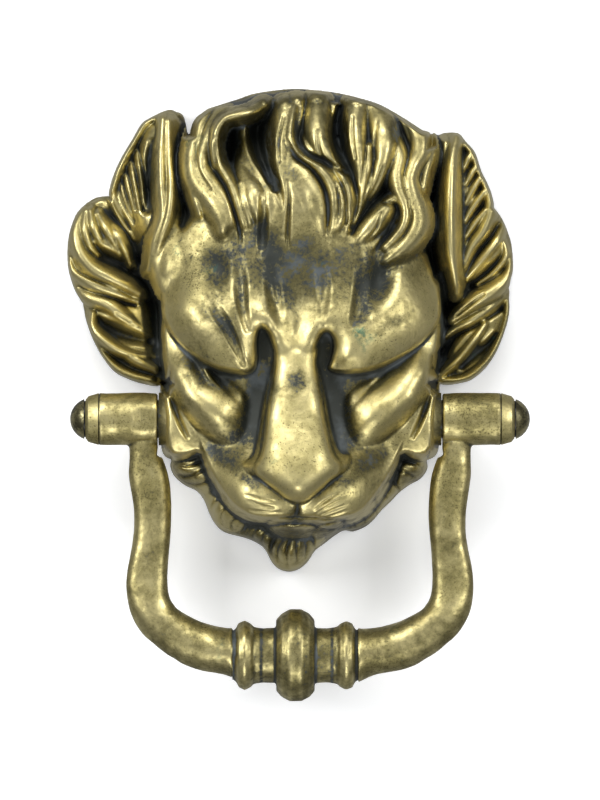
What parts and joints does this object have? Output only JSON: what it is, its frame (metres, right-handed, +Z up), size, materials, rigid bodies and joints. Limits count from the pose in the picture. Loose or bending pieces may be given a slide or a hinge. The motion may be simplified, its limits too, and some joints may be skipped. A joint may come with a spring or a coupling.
{
  "type": "door knocker",
  "caption": "Door knocker with a hollow cast lion mask and a drop bail that swings on two pivot pins, fixed from behind by two tapped bosses.",
  "frame": {"origin": "midway between the two tapped fixing holes, on the door's face", "axes": "+Y into the door along the fixing holes, +Z up the door, +X to the right as seen from in front, so the lion looks along -Y"},
  "size_m": [0.1498, 0.0615, 0.2006],
  "materials": {
    "mask_brass": "polished high spots, dark patina in the recesses",
    "bail_brass": "polished and tarnished",
    "pin_bronze": "dark tarnish",
    "dark_washer": "blackened",
    "steel": "dull zinc"
  },
  "bodies": {
    "mask": {"lion_mask": "mask_brass", "left_pivot_pin": "pin_bronze", "right_pivot_pin": "pin_bronze", "left_head_washer": "dark_washer", "right_head_washer": "dark_washer", "left_thrust_washer": "dark_washer", "right_thrust_washer": "dark_washer", "left_spring_washer": "steel", "right_spring_washer": "steel", "left_pin_nut": "steel", "right_pin_nut": "steel"},
    "bail": {"knocker_bail": "bail_brass", "left_barrel_ferrule": "bail_brass", "right_barrel_ferrule": "bail_brass"}
  },
  "joints": [
    {"name": "bail_swing", "type": "hinge", "parent": "mask", "child": "bail", "pos_m": [0, -0.02, -0.022], "axis": [-1, 0, 0], "range_deg": [-3.5, 125]}
  ]
}
